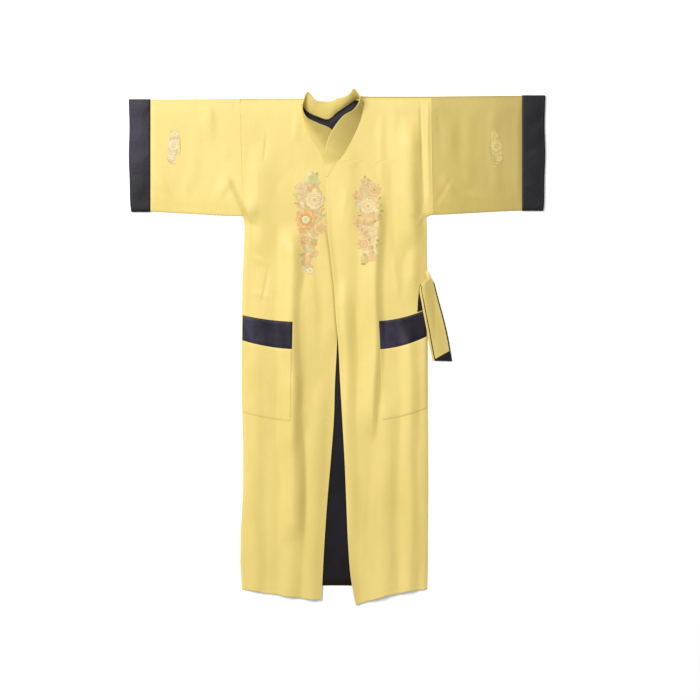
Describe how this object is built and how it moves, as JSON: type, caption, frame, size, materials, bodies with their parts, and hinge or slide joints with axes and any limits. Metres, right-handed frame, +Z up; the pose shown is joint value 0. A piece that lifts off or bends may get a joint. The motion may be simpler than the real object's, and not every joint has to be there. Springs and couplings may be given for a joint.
{
  "type": "kimono robe laid flat",
  "caption": "Long satin kimono robe with a contrast lining, dark cuffs and pocket bands, laid flat face up with its sleeves out and its sash folded at one side.",
  "frame": {"origin": "middle of the laid robe's bounding box, on the surface that it lies on", "axes": "+X towards the wearer's left sleeve, +Y from the hem to the shoulders, +Z up from the surface, out of the robe's front"},
  "size_m": [1.124, 1.3962, 0.033],
  "materials": {
    "gold_satin": "satin",
    "gold_satin_other_grain": "satin",
    "dark_satin": "satin",
    "black_lining": "satin"
  },
  "bodies": {
    "root": {"back_panel": "gold_satin", "back_lining": "black_lining", "right_front": "gold_satin", "left_front": "gold_satin", "right_front_lining": "black_lining", "left_front_lining": "black_lining", "right_pocket": "gold_satin", "left_pocket": "gold_satin", "right_pocket_band": "dark_satin", "left_pocket_band": "dark_satin", "right_sleeve": "gold_satin", "left_sleeve": "gold_satin_other_grain", "right_cuff": "dark_satin", "left_cuff": "dark_satin", "neckband": "gold_satin", "sash_upper_fold": "gold_satin", "sash_under_folds": "black_lining", "sash_tail": "black_lining", "sash_loop": "gold_satin"}
  },
  "joints": []
}
